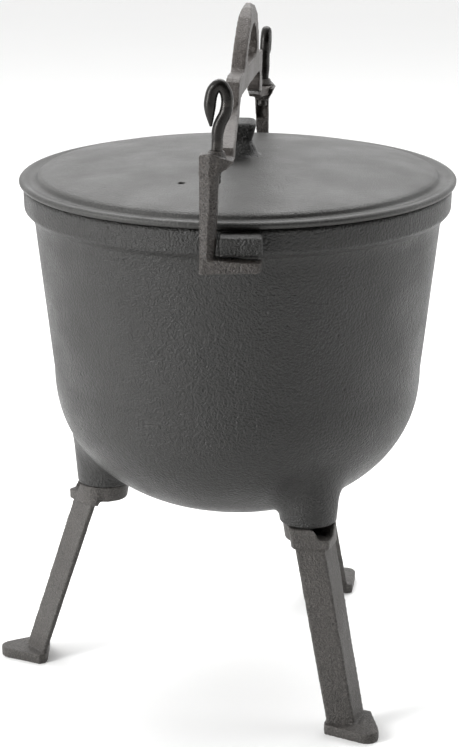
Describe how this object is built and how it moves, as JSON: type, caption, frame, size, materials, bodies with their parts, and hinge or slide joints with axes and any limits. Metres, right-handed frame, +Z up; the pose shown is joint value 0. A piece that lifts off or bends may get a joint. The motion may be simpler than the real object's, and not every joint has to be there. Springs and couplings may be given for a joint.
{
  "type": "cast iron dutch oven",
  "caption": "Round-bottomed cast iron cooking pot on splayed screw-on legs, with a lipped lid and a clamp-on carrying handle whose hooks catch under the pot's lugs.",
  "frame": {"origin": "middle of the object's box, on the ground under the feet; the pot's own axis is 12 mm towards +X from it", "axes": "+Z up; -Y towards the near lug and hook; -X towards the left leg"},
  "size_m": [0.3444, 0.3634, 0.5073],
  "materials": {
    "cast_iron_smooth": "fine sand-cast skin, oiled, satin",
    "cast_iron_rough": "coarse sand-cast skin, brownish grey",
    "zinc_steel": "plain machined fasteners",
    "blackened_steel": "blackened round rod, semi-gloss"
  },
  "bodies": {
    "pot": {"pot": "cast_iron_smooth", "leg_left": "cast_iron_rough", "leg_front": "cast_iron_rough", "leg_rear": "cast_iron_rough", "leg_stud_left": "zinc_steel", "leg_stud_front": "zinc_steel", "leg_stud_rear": "zinc_steel", "leg_nut_left": "zinc_steel", "leg_nut_front": "zinc_steel", "leg_nut_rear": "zinc_steel"},
    "lid": {"lid": "cast_iron_smooth"},
    "handle": {"bail": "cast_iron_rough", "hook_near": "cast_iron_rough", "hook_far": "cast_iron_rough"},
    "eye_bolt_near": {"eye_bolt_near": "blackened_steel"},
    "eye_bolt_far": {"eye_bolt_far": "blackened_steel"}
  },
  "joints": [
    {"name": "lid_lift", "type": "slide", "parent": "pot", "child": "lid", "axis": [0, 0, 1], "range_m": [0, 0.022]},
    {"name": "handle_twist", "type": "hinge", "parent": "pot", "child": "handle", "pos_m": [0.01225, 0.00006, 0.36], "axis": [0, 0, 1], "range_deg": [-16, 0]},
    {"name": "eye_bolt_near_turn", "type": "hinge", "parent": "handle", "child": "eye_bolt_near", "pos_m": [-0.00353, -0.16471, 0.43079], "axis": [0.0525, 0.0156, 0.9985], "range_deg": [-180, 180]},
    {"name": "eye_bolt_far_turn", "type": "hinge", "parent": "handle", "child": "eye_bolt_far", "pos_m": [0.03509, 0.16698, 0.42358], "axis": [0.0525, 0.0156, 0.9985], "range_deg": [-180, 180]}
  ]
}
